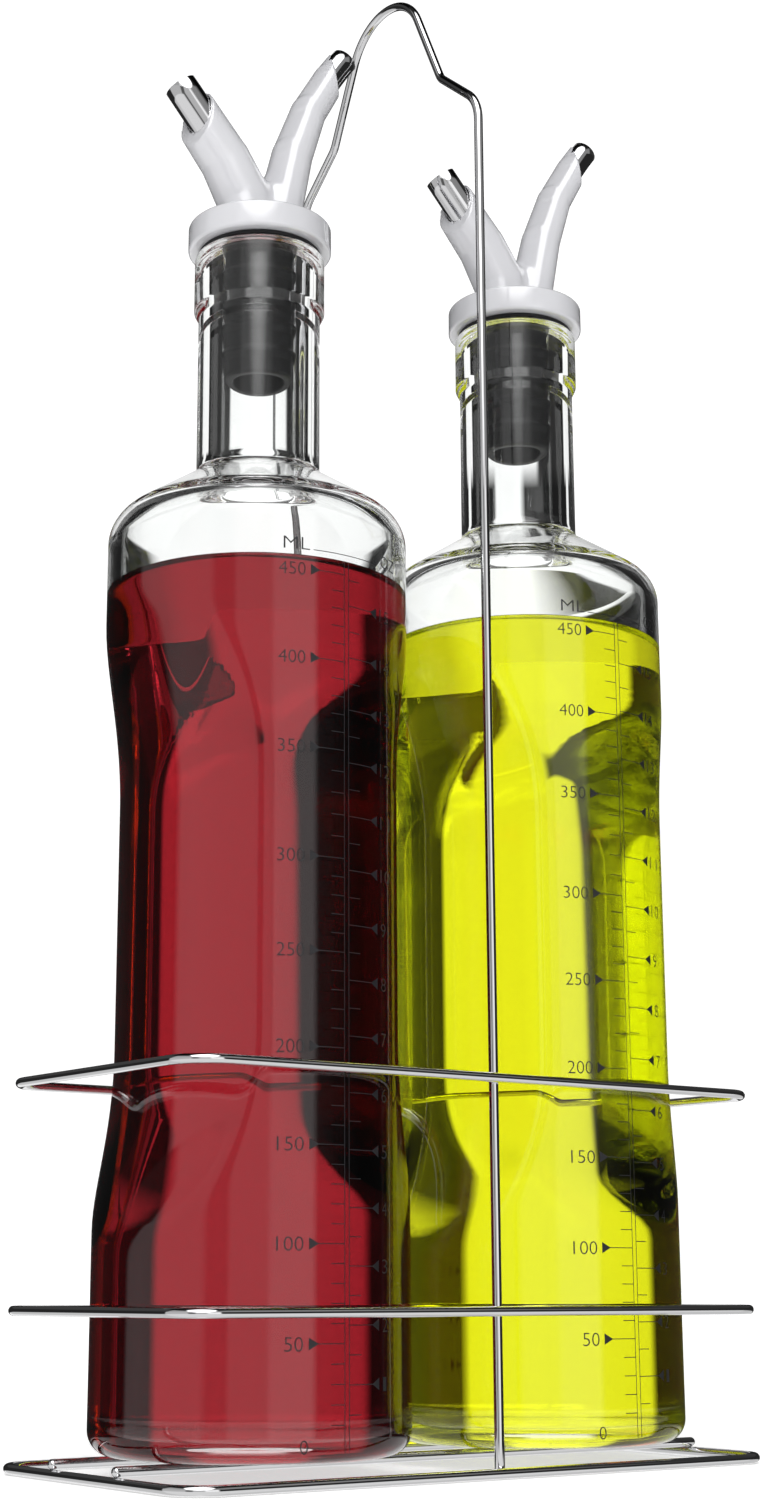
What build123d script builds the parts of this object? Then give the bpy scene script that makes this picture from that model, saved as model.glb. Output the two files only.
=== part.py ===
from build123d import *
from math import asin, cos, radians, sin, sqrt, tan
import os

# Cruet set: a chrome wire rack holding an oil and a vinegar bottle with pouring stoppers.
# Millimetres, +Z up.  X runs along the rack, the front is at -Y, and the origin is on the
# table under the middle of the rack.

# Rack: round wire, all sizes to the wire's centre line
WIRE = 2.0
RAIL_LENGTH = 146.4
RAIL_WIDTH = 72.2
RAIL_CORNER = 8.0
LOWER_RAIL_Z = 31.5
UPPER_RAIL_Z = 77.2
SUPPORT_SPREAD = 24.0
HANDLE_SHOULDER_Z = 295.4
HANDLE_WAIST = (20.9, 307.0)
HANDLE_APEX_Z = 354.2
HANDLE_BENDS = [5.0, 4.0, 13.6, 4.0, 5.0]

# Bottles: glass, standing on the support wires, a little forward of the rack's middle
BOTTLE_PITCH = 74.2
BOTTLE_Y = -2.0
REST_GAP = 0.05
BOTTLE_FOOT_Z = 2 * WIRE + REST_GAP
BARREL_RADIUS = 32.0
SHOULDER_Z = 195.2
NECK_ROOT_Z = 207.2
NECK_RADIUS = 13.4
FINISH_RADIUS = 14.4
FINISH_Z = 244.5
LIP_Z = 258.5
WALL = 2.8
BASE_THICKNESS = 3.9
BORE_RADIUS = 8.2

# Rounding of the glass outside (heel to lip) and inside (floor to throat)
OUTER_BENDS = [5.0, 8.5, 3.5, 1.0, 1.0, 1.2]
INNER_BENDS = [4.0, 6.0, 3.0]

# Finger grips pressed into the sides of each bottle
GRIP_DEPTH = 7.9
GRIP_RADIUS = 55.0
GRIP_RUN_RADIUS = 100.0
GRIP_BOTTOM_Z = 84.0
GRIP_TOP_Z = 136.0
GRIP_OVERCUT = 1.5

# Contents
FILL_Z = 179.5
FILL_GAP = 0.05

# Stopper: ribbed rubber sleeve with a flange on the lip
FIT = 0.04
STOPPER_FOOT_Z = 228.2
SLEEVE_RADIUS = 7.6
RIB_RADIUS = BORE_RADIUS - FIT
RIB_PITCH = 6.2
RIB_FIRST_Z = 233.2
RIB_COUNT = 4
RIB_HALF_HEIGHT = 1.1
RIB_EDGE = 0.2
RIB_OVERLAP = 0.3
FLANGE_RADIUS = 13.6
FLANGE_THICKNESS = 1.0
SLEEVE_BORE = 5.5

# Pourer: white collar with two arms in one upright plane, each arm holding a steel tube
COLLAR_RADIUS = 15.9
COLLAR_HEIGHT = 5.9
POURER_TURN = -16.0
STEM_LENGTH = 12.5
SWELL_FOOT_RADIUS = 10.2
SWELL_TOP_RADIUS = 8.2
SWELL_HEIGHT = 8.0
TUBE_WALL = 0.5
TUBE_GAP = 0.02
CHANNEL_STEP = 0.55
# Short arm, which pours: a bend of this radius, then a straight run
SPOUT_ROOT = -2.6
SPOUT_BEND = 30.0
SPOUT_TILT = 36.0
SPOUT_END_Z = 297.9
SPOUT_ARM_RADIUS = 5.3
SPOUT_TUBE_RADIUS = 3.75
SPOUT_TUBE_START_Z = 281.0
SPOUT_STEM_BORE = 2.2
# Tall arm, which lets air in: one long bend
VENT_ROOT = 4.9
VENT_BEND = 78.0
VENT_END_Z = 311.7
VENT_ARM_RADIUS = 4.2
VENT_TUBE_RADIUS = 3.1
VENT_TUBE_START_Z = 293.0
VENT_STEM_BORE = 1.5
VENT_STEM_OFFSET = 3.3
# Each arm ends in an oblique cut: (distance from the bottle's axis, height, lean of the cut)
SPOUT_CUT = (-14.9, 292.0, 13.5)
VENT_CUT = (18.2, 308.6, -10.0)

FLANGE_FOOT_Z = LIP_Z + REST_GAP
COLLAR_FOOT_Z = FLANGE_FOOT_Z + FLANGE_THICKNESS + REST_GAP
COLLAR_TOP_Z = COLLAR_FOOT_Z + COLLAR_HEIGHT

os.makedirs("parts", exist_ok=True)


def save(part, name):
    """Label one finished piece and write it to its own file."""
    part.label = name
    export_step(part, f"parts/{name}.step")


def rail(height):
    """A closed rounded rectangle of wire, lying level."""
    corners = [
        (-RAIL_LENGTH / 2, -RAIL_WIDTH / 2),
        (RAIL_LENGTH / 2, -RAIL_WIDTH / 2),
        (RAIL_LENGTH / 2, RAIL_WIDTH / 2),
        (-RAIL_LENGTH / 2, RAIL_WIDTH / 2),
    ]
    with BuildPart() as ring:
        with BuildLine(Plane.XY.offset(height)) as centre_line:
            FilletPolyline(*corners, radius=RAIL_CORNER, close=True)
        with BuildSketch(Plane(origin=centre_line.line @ 0, z_dir=centre_line.line % 0)):
            Circle(WIRE / 2)
        sweep(path=centre_line.wire())
    return ring.part


def handle():
    """Two upright legs and the arch between them, bent from one wire in the plane x = 0."""
    leg = RAIL_WIDTH / 2 - WIRE
    waist_y, waist_z = HANDLE_WAIST
    points = [
        (-leg, WIRE / 2),
        (-leg, HANDLE_SHOULDER_Z),
        (-waist_y, waist_z),
        (0, HANDLE_APEX_Z),
        (waist_y, waist_z),
        (leg, HANDLE_SHOULDER_Z),
        (leg, WIRE / 2),
    ]
    with BuildPart() as wire:
        with BuildLine(Plane.YZ) as centre_line:
            FilletPolyline(*points, radius=HANDLE_BENDS)
        with BuildSketch(Plane(origin=centre_line.line @ 0, z_dir=centre_line.line % 0)):
            Circle(WIRE / 2)
        sweep(path=centre_line.wire())
    return wire.part


def support_wire(y):
    """A straight wire with rounded ends, lying across the short sides of the base ring."""
    length = RAIL_LENGTH + WIRE
    start = Plane(origin=(-length / 2, y, 1.5 * WIRE), z_dir=(1, 0, 0))
    with BuildPart() as wire:
        with BuildSketch(start):
            Circle(WIRE / 2)
        extrude(amount=length)
        fillet(wire.edges().filter_by(GeomType.CIRCLE), radius=0.42 * WIRE)
    return wire.part


def bottle_plane(x):
    """The upright plane through a bottle's axis, with its local y up."""
    return Plane(origin=(x, BOTTLE_Y, 0), x_dir=(1, 0, 0), z_dir=(0, -1, 0))


def grip_cutters(x, inset):
    """What the two finger grips take away from a bottle's barrel, or from its cavity."""
    floor = BARREL_RADIUS - GRIP_DEPTH - inset
    rim = BARREL_RADIUS - inset + GRIP_OVERCUT
    run = GRIP_RUN_RADIUS + inset
    reach = sqrt(run**2 - (run - (rim - floor)) ** 2)
    spine = GRIP_RADIUS - BARREL_RADIUS + GRIP_DEPTH
    with BuildPart() as cutters:
        for side in (1, -1):
            with BuildSketch(bottle_plane(x)):
                with BuildLine():
                    low = (side * floor, GRIP_BOTTOM_Z)
                    high = (side * floor, GRIP_TOP_Z)
                    low_rim = (side * rim, GRIP_BOTTOM_Z - reach)
                    high_rim = (side * rim, GRIP_TOP_Z + reach)
                    Line(low, high)
                    TangentArc(high, high_rim, tangent=(0, 1))
                    Line(high_rim, low_rim)
                    TangentArc(low, low_rim, tangent=(0, -1))
                make_face()
            revolve(axis=Axis((x - side * spine, BOTTLE_Y, 0), (0, 0, 1)))
    return cutters.part


def cavity(x):
    """The space inside a bottle, running out through the mouth."""
    plane = bottle_plane(x)
    slope = (NECK_ROOT_Z - SHOULDER_Z) / (BARREL_RADIUS - NECK_RADIUS)
    drop = WALL * sqrt(1 + slope**2)
    radius = BARREL_RADIUS - WALL
    floor_z = BOTTLE_FOOT_Z + BASE_THICKNESS
    shoulder_z = SHOULDER_Z + WALL * slope - drop
    throat_z = SHOULDER_Z + (BARREL_RADIUS - BORE_RADIUS) * slope - drop
    mouth_z = LIP_Z + 1
    outline = [(0, floor_z), (radius, floor_z), (radius, shoulder_z), (BORE_RADIUS, throat_z)]
    grips = grip_cutters(x, WALL)
    with BuildPart() as space:
        with BuildSketch(plane):
            with BuildLine():
                FilletPolyline(*outline, (BORE_RADIUS, mouth_z), radius=INNER_BENDS)
                Line((BORE_RADIUS, mouth_z), (0, mouth_z))
                Line((0, mouth_z), (0, floor_z))
            make_face()
        revolve(axis=Axis((x, BOTTLE_Y, 0), (0, 0, 1)))
        add(grips, mode=Mode.SUBTRACT)
    return space.part


def bottle(x):
    """A thick glass bottle with a round barrel, side grips, sloping shoulder and collared neck."""
    plane = bottle_plane(x)
    outline = [
        (0, BOTTLE_FOOT_Z),
        (BARREL_RADIUS, BOTTLE_FOOT_Z),
        (BARREL_RADIUS, SHOULDER_Z),
        (NECK_RADIUS, NECK_ROOT_Z),
        (NECK_RADIUS, FINISH_Z - 1),
        (FINISH_RADIUS, FINISH_Z + 1),
        (FINISH_RADIUS, LIP_Z),
        (0, LIP_Z),
    ]
    grips = grip_cutters(x, 0)
    inside = cavity(x)
    with BuildPart() as glass:
        with BuildSketch(plane):
            with BuildLine():
                FilletPolyline(*outline, radius=OUTER_BENDS)
                Line((0, LIP_Z), (0, BOTTLE_FOOT_Z))
            make_face()
        revolve(axis=Axis((x, BOTTLE_Y, 0), (0, 0, 1)))
        add(grips, mode=Mode.SUBTRACT)
        add(inside, mode=Mode.SUBTRACT)
    return glass.part


def fill(x):
    """The liquid in a bottle, a hair inside the glass, level on top."""
    plane = bottle_plane(x)
    radius = BARREL_RADIUS - WALL - FILL_GAP
    floor_z = BOTTLE_FOOT_Z + BASE_THICKNESS + FILL_GAP
    grips = grip_cutters(x, WALL + FILL_GAP)
    with BuildPart() as liquid:
        with BuildSketch(plane):
            with BuildLine():
                FilletPolyline((0, floor_z), (radius, floor_z), (radius, FILL_Z), radius=INNER_BENDS[0])
                Line((radius, FILL_Z), (0, FILL_Z))
                Line((0, FILL_Z), (0, floor_z))
            make_face()
        revolve(axis=Axis((x, BOTTLE_Y, 0), (0, 0, 1)))
        add(grips, mode=Mode.SUBTRACT)
    return liquid.part


def stopper(x):
    """A rubber sleeve with ribs that seal in the bore and a flange that sits on the lip."""
    plane = bottle_plane(x)
    flange_top = FLANGE_FOOT_Z + FLANGE_THICKNESS
    with BuildPart() as rubber:
        with BuildSketch(plane):
            with BuildLine():
                Polyline(
                    (SLEEVE_BORE, STOPPER_FOOT_Z),
                    (SLEEVE_RADIUS, STOPPER_FOOT_Z),
                    (SLEEVE_RADIUS, FLANGE_FOOT_Z),
                    (FLANGE_RADIUS, FLANGE_FOOT_Z),
                    (FLANGE_RADIUS, flange_top),
                    (SLEEVE_BORE, flange_top),
                    close=True,
                )
            make_face()
            for rib in range(RIB_COUNT):
                z = RIB_FIRST_Z + rib * RIB_PITCH
                with BuildLine():
                    Polyline(
                        (SLEEVE_RADIUS - RIB_OVERLAP, z - RIB_HALF_HEIGHT),
                        (RIB_RADIUS, z - RIB_EDGE),
                        (RIB_RADIUS, z + RIB_EDGE),
                        (SLEEVE_RADIUS - RIB_OVERLAP, z + RIB_HALF_HEIGHT),
                        close=True,
                    )
                make_face()
        revolve(axis=Axis((x, BOTTLE_Y, 0), (0, 0, 1)))
        foot = rubber.edges().group_by(Axis.Z)[0].sort_by(SortBy.LENGTH)[-1]
        fillet(foot, radius=0.8)
    return rubber.part


def pourer_plane(x):
    """The upright plane that both arms of a pourer lie in."""
    turn = radians(POURER_TURN)
    outward = (cos(turn), sin(turn), 0)
    sideways = (sin(turn), -cos(turn), 0)
    return Plane(origin=(x, BOTTLE_Y, 0), x_dir=outward, z_dir=sideways)


def bend_point(root, bend, angle):
    """A point of an arm's bend, which leaves the collar upright; a negative bend leans left."""
    return (root + bend * (1 - cos(angle)), COLLAR_TOP_Z + abs(bend) * sin(angle))


def spout_line(start_z):
    """Centre line of the short arm: a bend away from the upright, then a straight run."""
    tilt = radians(SPOUT_TILT)
    knee = bend_point(SPOUT_ROOT, -SPOUT_BEND, tilt)
    end = (knee[0] - (SPOUT_END_Z - knee[1]) * tan(tilt), SPOUT_END_Z)
    if start_z > knee[1]:
        Line((knee[0] - (start_z - knee[1]) * tan(tilt), start_z), end)
    else:
        begin = asin((start_z - COLLAR_TOP_Z) / SPOUT_BEND)
        start = bend_point(SPOUT_ROOT, -SPOUT_BEND, begin)
        middle = bend_point(SPOUT_ROOT, -SPOUT_BEND, (begin + tilt) / 2)
        ThreePointArc(start, middle, knee)
        Line(knee, end)


def vent_line(start_z):
    """Centre line of the tall arm, one long bend, from a height up to its end."""
    begin = asin((start_z - COLLAR_TOP_Z) / VENT_BEND)
    finish = asin((VENT_END_Z - COLLAR_TOP_Z) / VENT_BEND)
    angles = (begin, (begin + finish) / 2, finish)
    ThreePointArc(*[bend_point(VENT_ROOT, VENT_BEND, angle) for angle in angles])


def round_bar(plane, line, start_z, radius, bore=0.0):
    """A round bar, or a tube where it has a bore, along one of the arms' centre lines."""
    with BuildPart() as bar:
        with BuildLine(plane) as centre_line:
            line(start_z)
        with BuildSketch(Plane(origin=centre_line.line @ 0, z_dir=centre_line.line % 0)):
            Circle(radius)
            if bore:
                Circle(bore, mode=Mode.SUBTRACT)
        sweep(path=centre_line.wire())
    return bar.part


def arm(plane, line, radius, cut):
    """One arm of a pourer, cut off obliquely at its outer end."""
    out, height, lean = cut
    facing = 1 if out > 0 else -1
    across = plane.x_dir * cos(radians(lean)) - plane.y_dir * sin(radians(lean))
    end_face = Plane(origin=plane.from_local_coords((out, height, 0)), z_dir=across * facing)
    with BuildPart() as limb:
        add(round_bar(plane, line, COLLAR_TOP_Z, radius))
        split(bisect_by=end_face, keep=Keep.BOTTOM)
    return limb.part


def pourer(x):
    """White collar, a stem that fits the stopper, and the two arms with their channels."""
    plane = pourer_plane(x)
    stem_foot = COLLAR_FOOT_Z - STEM_LENGTH
    swell_top = COLLAR_TOP_Z + SWELL_HEIGHT
    channels = (
        (spout_line, SPOUT_TUBE_START_Z, SPOUT_TUBE_RADIUS),
        (vent_line, VENT_TUBE_START_Z, VENT_TUBE_RADIUS),
    )
    with BuildPart() as body:
        with BuildSketch(Plane(origin=(x, BOTTLE_Y, COLLAR_FOOT_Z))):
            Circle(COLLAR_RADIUS)
        extrude(amount=COLLAR_HEIGHT)
        fillet(body.edges().filter_by(GeomType.CIRCLE), radius=0.7)
        with BuildSketch(Plane(origin=(x, BOTTLE_Y, stem_foot))):
            Circle(SLEEVE_BORE - FIT)
        extrude(amount=STEM_LENGTH)
        # swell where the arms grow out of the collar
        with BuildSketch(plane):
            with BuildLine():
                Polyline(
                    (0, COLLAR_TOP_Z - 1),
                    (SWELL_FOOT_RADIUS, COLLAR_TOP_Z - 1),
                    (SWELL_TOP_RADIUS, swell_top),
                    (0, swell_top + 2),
                    close=True,
                )
            make_face()
        revolve(axis=Axis((x, BOTTLE_Y, 0), (0, 0, 1)))
        add(arm(plane, spout_line, SPOUT_ARM_RADIUS, SPOUT_CUT))
        add(arm(plane, vent_line, VENT_ARM_RADIUS, VENT_CUT))
        for line, tube_start, radius in channels:
            add(round_bar(plane, line, COLLAR_TOP_Z, radius - CHANNEL_STEP), mode=Mode.SUBTRACT)
            seat = round_bar(plane, line, tube_start - TUBE_GAP, radius + TUBE_GAP)
            add(seat, mode=Mode.SUBTRACT)
        for offset, radius in ((SPOUT_ROOT, SPOUT_STEM_BORE), (VENT_STEM_OFFSET, VENT_STEM_BORE)):
            foot = plane.from_local_coords((offset, stem_foot, 0))
            with BuildSketch(Plane(origin=foot)):
                Circle(radius)
            extrude(amount=STEM_LENGTH + COLLAR_HEIGHT + 2, mode=Mode.SUBTRACT)
    return body.part


save(rail(WIRE / 2), "base_ring")
save(rail(LOWER_RAIL_Z), "lower_rail")
save(rail(UPPER_RAIL_Z), "upper_rail")
save(handle(), "handle_wire")
save(support_wire(-SUPPORT_SPREAD / 2), "front_support_wire")
save(support_wire(SUPPORT_SPREAD / 2), "back_support_wire")

for contents, place in (("vinegar", -BOTTLE_PITCH / 2), ("oil", BOTTLE_PITCH / 2)):
    arms = pourer_plane(place)
    spout_bore = SPOUT_TUBE_RADIUS - TUBE_WALL
    vent_bore = VENT_TUBE_RADIUS - TUBE_WALL
    spout_tube = round_bar(arms, spout_line, SPOUT_TUBE_START_Z, SPOUT_TUBE_RADIUS, spout_bore)
    vent_tube = round_bar(arms, vent_line, VENT_TUBE_START_Z, VENT_TUBE_RADIUS, vent_bore)
    save(bottle(place), f"{contents}_bottle")
    save(fill(place), f"{contents}_fill")
    save(stopper(place), f"{contents}_stopper")
    save(pourer(place), f"{contents}_pourer")
    save(spout_tube, f"{contents}_spout_tube")
    save(vent_tube, f"{contents}_vent_tube")
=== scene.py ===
import math

import bpy
import numpy as np
from mathutils import Matrix, Vector


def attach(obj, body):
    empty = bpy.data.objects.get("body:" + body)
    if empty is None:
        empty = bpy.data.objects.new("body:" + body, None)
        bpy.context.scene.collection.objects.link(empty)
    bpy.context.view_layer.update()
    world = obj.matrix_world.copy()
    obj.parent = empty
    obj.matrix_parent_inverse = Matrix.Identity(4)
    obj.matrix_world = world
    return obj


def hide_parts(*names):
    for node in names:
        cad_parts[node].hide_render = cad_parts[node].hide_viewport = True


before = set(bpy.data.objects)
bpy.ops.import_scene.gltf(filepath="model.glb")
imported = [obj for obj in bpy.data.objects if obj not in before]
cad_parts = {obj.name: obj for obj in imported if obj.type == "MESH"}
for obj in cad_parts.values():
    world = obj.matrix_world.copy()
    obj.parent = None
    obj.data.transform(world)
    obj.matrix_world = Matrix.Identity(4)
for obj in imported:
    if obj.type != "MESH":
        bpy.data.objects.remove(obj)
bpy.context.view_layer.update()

# Visual model of a cruet set: chrome wire rack, two glass bottles of vinegar and oil with side
# finger grips and a printed scale, and a rubber stopper with a two-armed pourer in each.
# Everything is built in millimetres in the row frame and scaled to metres when it becomes a mesh.

MM = 0.001

# The two bottles' axes
SETS = (("vinegar", -37.1), ("oil", 37.1))
AXIS_Y = -2.0

# Rack: wire radius, half sizes of the rings' centre line, and the handle's corners as (|y|, z)
WIRE = 1.0
RAIL_X, RAIL_Y, RAIL_CORNER = 73.2, 36.1, 8.0
RAILS = (("base_ring", 1.0), ("lower_rail", 31.5), ("upper_rail", 77.2))
LEG_Y = 34.1
ARCH = ((LEG_Y, 1.0), (LEG_Y, 295.4), (20.9, 307.0), (0.0, 354.2))
ARCH_BENDS = (10.0, 5.0, 13.6)
SUPPORTS = (("front_support_wire", -12.0), ("back_support_wire", 12.0))
SUPPORT_REACH, SUPPORT_Z, SUPPORT_TIP = 74.2, 3.0, 0.85

# Bottles: radii, wall and the heights of their profile
BARREL, NECK, FINISH, BORE, WALL = 32.0, 13.4, 14.4, 8.2, 2.8
FOOT_Z, FLOOR_Z, SHOULDER_Z, NECK_ROOT_Z, FINISH_Z, LIP_Z = 4.05, 7.95, 195.2, 207.2, 244.5, 258.5
# Finger grips: how far their deepest line is from the axis, the radius they are hollowed to, the
# radius they run out with, and the heights that the deepest line reaches between
GRIP_FLOOR, GRIP_RADIUS, GRIP_RUN, GRIP_LOW, GRIP_HIGH = 24.1, 55.0, 100.0, 84.0, 136.0
# The part of the bottle they can touch, a radius that is outside it, and their edges' softness
GRIP_LIMITS, GRIP_CORE, NO_GRIP, CREASE = (30.0, 192.0), 20.0, 80.0, 1.3
BOTTLE_SEGMENTS = 240

# Liquid: how far it reaches into the glass, and how high and how wide it climbs the wall
FILL_Z, OVERLAP, CLIMB, CLIMB_WIDTH = 179.5, 0.1, 0.9, 0.8

# Stopper: its sleeve, flange and ribs
SLEEVE, STOPPER_BORE, STOPPER_FOOT = 7.6, 5.5, 228.2
FLANGE_RADIUS, FLANGE_FOOT, FLANGE_TOP = 13.6, LIP_Z + 0.05, LIP_Z + 1.05
RIBS, FIRST_RIB, RIB_PITCH = 4, 233.2, 6.2

# Pourer: the collar, and the two tubes' centre lines in the plane of the arms
COLLAR_FOOT, COLLAR_TOP, COLLAR_RADIUS = 259.6, 265.5, 15.9
STEM_RADIUS, STEM_LENGTH = 5.46, 12.5
POURER_TURN = math.radians(-16.0)
SPOUT_ROOT, SPOUT_BEND, SPOUT_TILT, SPOUT_END_Z = -2.6, 30.0, math.radians(36.0), 297.9
VENT_ROOT, VENT_BEND, VENT_END_Z = 4.9, 78.0, 311.7
SPOUT_HOLE_START, SPOUT_TUBE_START, VENT_TUBE_START = 278.5, 281.0, 293.0
SPOUT_TUBE, VENT_TUBE, TUBE_WALL, TUBE_GAP = 3.75, 3.1, 0.5, 0.1
# The arms as stations of (out, up, half width, half depth)
SPOUT_ARM = ((-1.8, 262.0, 6.2, 6.4), (-3.6, 272.0, 6.0, 5.9), (-8.2, 281.0, 5.6, 5.4),
             (-15.5, 291.3, 5.3, 5.1), (-21.5, 299.5, 5.3, 5.0))
VENT_ARM = ((3.2, 262.0, 5.9, 6.2), (4.9, 273.0, 5.0, 5.3), (7.4, 285.0, 4.6, 4.8),
            (11.2, 296.5, 4.05, 4.5), (16.4, 306.0, 3.8, 4.3), (22.2, 314.2, 3.8, 4.2))
# The tall arm's flat side: which way it faces, and how far out it is in parts of the half width
FLAT_ACROSS, FLAT_DEEP, VENT_FLAT = -0.78, -0.62, 0.84
# The slanted cuts at the arms' ends: a point (out, up), the lean, and the slant towards the front
SPOUT_CUT = (-14.6, 292.1, math.radians(14.5), 0.42)
VENT_CUT = (17.5, 308.6, math.radians(-10.5), 0.35)
# How far the arms blend into each other and into the swelling on the collar, and that swelling
ARM_BLEND, COLLAR_BLEND, SQUARENESS = 3.2, 3.0, 2.3
SWELL_RADIUS, SWELL_HALF_HEIGHT, SWELL_FLARE = 10.0, 1.6, 0.3
# The block of space that the arms are meshed in, the size of its cells, and a distance outside it
NET_LOW, NET_HIGH, NET_CELL, NET_QUICK_CELL = (-24.0, -13.5, 263.0), (26.0, 13.5, 319.0), 0.45, 0.8
FAR = 1e3


# ---------------------------------------------------------------- materials

def shader(name, color, rough, metal=0.0, ior=1.45, glass=0.0, coat=0.0, grain=0.0,
           grain_scale=400.0, bump=0.0, bump_scale=300.0, specks=0.0):
    """A Principled material with fine procedural variation in its roughness, colour and surface."""
    mat = bpy.data.materials.new(name)
    mat.use_nodes = True
    nt = mat.node_tree
    node = nt.nodes["Principled BSDF"]
    node.inputs["Base Color"].default_value = (*color, 1.0)
    node.inputs["Roughness"].default_value = rough
    node.inputs["Metallic"].default_value = metal
    node.inputs["IOR"].default_value = ior
    node.inputs["Transmission Weight"].default_value = glass
    node.inputs["Coat Weight"].default_value = coat
    place = nt.nodes.new("ShaderNodeTexCoord")
    if grain:
        noise = nt.nodes.new("ShaderNodeTexNoise")
        noise.inputs["Scale"].default_value = grain_scale
        noise.inputs["Detail"].default_value = 4.0
        span = nt.nodes.new("ShaderNodeMapRange")
        span.inputs["To Min"].default_value = max(0.0, rough - grain)
        span.inputs["To Max"].default_value = rough + grain
        nt.links.new(place.outputs["Object"], noise.inputs["Vector"])
        nt.links.new(noise.outputs["Fac"], span.inputs["Value"])
        nt.links.new(span.outputs["Result"], node.inputs["Roughness"])
    if specks:
        dots = nt.nodes.new("ShaderNodeTexNoise")
        dots.inputs["Scale"].default_value = grain_scale * 0.4
        dots.inputs["Detail"].default_value = 3.0
        ramp = nt.nodes.new("ShaderNodeMix")
        ramp.data_type = "RGBA"
        ramp.inputs["A"].default_value = (*[c * (1 - specks) for c in color], 1.0)
        ramp.inputs["B"].default_value = (*[min(1.0, c * (1 + specks)) for c in color], 1.0)
        nt.links.new(place.outputs["Object"], dots.inputs["Vector"])
        nt.links.new(dots.outputs["Fac"], ramp.inputs["Factor"])
        nt.links.new(ramp.outputs["Result"], node.inputs["Base Color"])
    if bump:
        waves = nt.nodes.new("ShaderNodeTexNoise")
        waves.inputs["Scale"].default_value = bump_scale
        waves.inputs["Detail"].default_value = 1.0
        lift = nt.nodes.new("ShaderNodeBump")
        lift.inputs["Strength"].default_value = bump
        lift.inputs["Distance"].default_value = 0.0002
        nt.links.new(place.outputs["Object"], waves.inputs["Vector"])
        nt.links.new(waves.outputs["Fac"], lift.inputs["Height"])
        nt.links.new(lift.outputs["Normal"], node.inputs["Normal"])
    return mat


CHROME = shader("chrome", (0.74, 0.74, 0.75), 0.03, metal=1.0, grain=0.015, grain_scale=900.0,
                bump=0.015)
STEEL = shader("steel_tube", (0.74, 0.74, 0.75), 0.07, metal=1.0, grain=0.03, grain_scale=700.0,
               bump=0.02)
GLASS = shader("clear_glass", (0.985, 0.995, 0.99), 0.0, ior=1.5, glass=1.0, bump=0.015,
               bump_scale=45.0)
VINEGAR = shader("red_vinegar", (0.33, 0.013, 0.021), 0.0, ior=1.5, glass=1.0, specks=0.04,
                 grain_scale=30.0)
OIL = shader("yellow_oil", (0.86, 0.88, 0.012), 0.0, ior=1.5, glass=1.0, specks=0.03,
             grain_scale=30.0)
RUBBER = shader("black_rubber", (0.010, 0.010, 0.011), 0.42, ior=1.33, grain=0.08,
                grain_scale=1500.0, bump=0.25, bump_scale=2500.0, specks=0.2)
PLASTIC = shader("white_plastic", (0.64, 0.64, 0.665), 0.12, ior=1.6, grain=0.03, coat=1.0,
                 bump=0.03, bump_scale=150.0, specks=0.012)
INK = shader("scale_ink", (0.016, 0.016, 0.018), 0.35, grain=0.08, specks=0.25)


# ---------------------------------------------------------------- mesh helpers

def add_mesh(name, points, faces, material, body, slot, smooth=True):
    """Makes one piece from points in millimetres and lets it ride on a body."""
    mesh = bpy.data.meshes.new(name)
    mesh.from_pydata((np.asarray(points, float) * MM).tolist(), [], [tuple(f) for f in faces])
    mesh.materials.append(material)
    if smooth:
        mesh.polygons.foreach_set("use_smooth", [True] * len(mesh.polygons))
    mesh.update()
    piece = bpy.data.objects.new(name, mesh)
    bpy.context.scene.collection.objects.link(piece)
    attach(piece, body)
    return piece


def rounded(corners, radii, step=7.0):
    """A polyline whose corners are turned into arcs; radii has one entry for each inner corner."""
    corners = [np.array(c, float) for c in corners]
    line = [corners[0]]
    for before, corner, after, radius in zip(corners, corners[1:], corners[2:], radii):
        into = (corner - before) / np.linalg.norm(corner - before)
        away = (after - corner) / np.linalg.norm(after - corner)
        turn = math.acos(max(-1.0, min(1.0, float(into @ away))))
        if radius <= 0 or turn < 1e-6:
            line.append(corner)
            continue
        start = corner - into * radius * math.tan(turn / 2)
        inward = away - into * math.cos(turn)
        inward /= np.linalg.norm(inward)
        centre = start + inward * radius
        count = max(2, int(math.degrees(turn) / step) + 1)
        for i in range(count + 1):
            a = turn * i / count
            line.append(centre + radius * (into * math.sin(a) - inward * math.cos(a)))
    line.append(corners[-1])
    return np.array(line)


def refine(line, longest):
    """Splits a polyline's long segments."""
    out = [line[0]]
    for a, b in zip(line, line[1:]):
        count = max(1, math.ceil(np.linalg.norm(b - a) / longest))
        out += [a + (b - a) * i / count for i in range(1, count + 1)]
    return np.array(out)


def lathe(profile, x, segments, shape=None, closed=False):
    """Points and faces of a profile of (radius, z) turned about a bottle's axis.

    shape(r, angle, z) may change the radius from one direction to another.
    """
    angle = np.arange(segments) * 2 * math.pi / segments
    rows, points, faces = [], [], []
    for r, z in profile:
        start = len(points)
        if r < 1e-6:
            points.append((x, AXIS_Y, z))
            rows.append([start] * segments)
            continue
        radius = np.full(segments, r) if shape is None else shape(r, angle, z)
        across, deep = x + radius * np.cos(angle), AXIS_Y + radius * np.sin(angle)
        points += list(zip(across, deep, np.full(segments, z)))
        rows.append(list(range(start, start + segments)))
    pairs = list(zip(rows, rows[1:])) + ([(rows[-1], rows[0])] if closed else [])
    for low, high in pairs:
        for i in range(segments):
            j = (i + 1) % segments
            corner = [low[i], low[j], high[j], high[i]]
            face = [v for k, v in enumerate(corner) if v != corner[k - 1]]
            if len(face) >= 3:
                faces.append(face)
    return outward(np.array(points, float), faces)


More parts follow.
